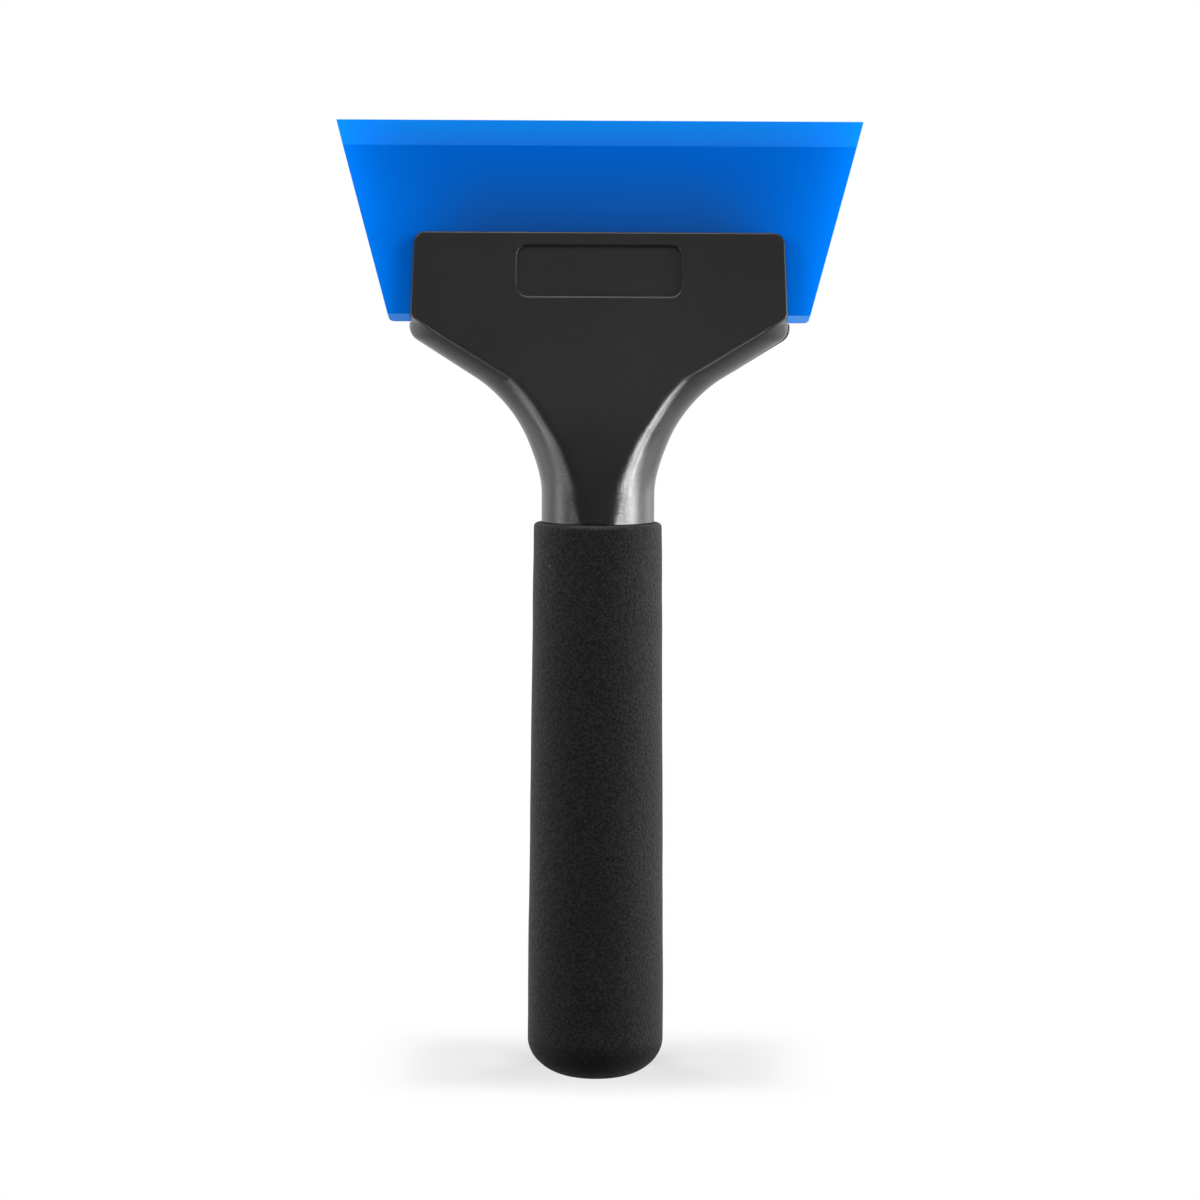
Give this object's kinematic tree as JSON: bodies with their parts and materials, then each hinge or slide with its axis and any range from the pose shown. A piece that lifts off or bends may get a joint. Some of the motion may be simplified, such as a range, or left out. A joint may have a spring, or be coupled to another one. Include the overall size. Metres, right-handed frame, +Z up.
{
  "type": "long-handled squeegee",
  "caption": "Hand squeegee: a wedge-shaped clamping head holds a thick trapezoid blade with a bevelled working edge, on a round neck and a long foam-sleeved handle.",
  "frame": {"origin": "middle of the flat end of the grip, on the handle's axis, where the squeegee stands upright", "axes": "+Z up the handle towards the blade's working edge, -Y out of the front face with the bare label panel, +Y out of the rear jaw with the screws, +X to the right seen from the front"},
  "size_m": [0.134, 0.0348, 0.245],
  "materials": {
    "handle_plastic": "matte",
    "jaw_plastic": "matte",
    "blade_urethane": "gloss",
    "grip_foam": "matte",
    "plug_plastic": "matte",
    "screw_steel": "satin",
    "washer_steel": "satin",
    "insert_brass": "satin"
  },
  "bodies": {
    "handle": {"handle_body": "handle_plastic", "foam_grip": "grip_foam", "core_end_plug": "plug_plastic", "thread_insert_left": "insert_brass", "thread_insert_right": "insert_brass"},
    "clamp": {"rear_jaw": "jaw_plastic", "screw_washer_left": "washer_steel", "screw_washer_right": "washer_steel"},
    "screw_left": {"clamp_screw_left": "screw_steel"},
    "screw_right": {"clamp_screw_right": "screw_steel"},
    "squeegee_blade": {"blade": "blade_urethane"}
  },
  "joints": [
    {"name": "rear_jaw_release", "type": "slide", "parent": "handle", "child": "clamp", "axis": [0, 1, 0], "range_m": [0, 0.0014]},
    {"name": "clamp_screw_left_turn", "type": "hinge", "parent": "clamp", "child": "screw_left", "pos_m": [-0.021, 0.0066, 0.18499], "axis": [0, 1, 0], "range_deg": [0, 720]},
    {"name": "clamp_screw_right_turn", "type": "hinge", "parent": "clamp", "child": "screw_right", "pos_m": [0.021, 0.0066, 0.18499], "axis": [0, 1, 0], "range_deg": [0, 720]},
    {"name": "blade_slide", "type": "slide", "parent": "handle", "child": "squeegee_blade", "axis": [0, 0, 1], "range_m": [0, 0.025]}
  ],
  "couplings": [
    {"joint": "clamp_screw_left_turn", "follows": "rear_jaw_release", "rad_per_m": 8976},
    {"joint": "clamp_screw_right_turn", "follows": "rear_jaw_release", "rad_per_m": 8976}
  ]
}
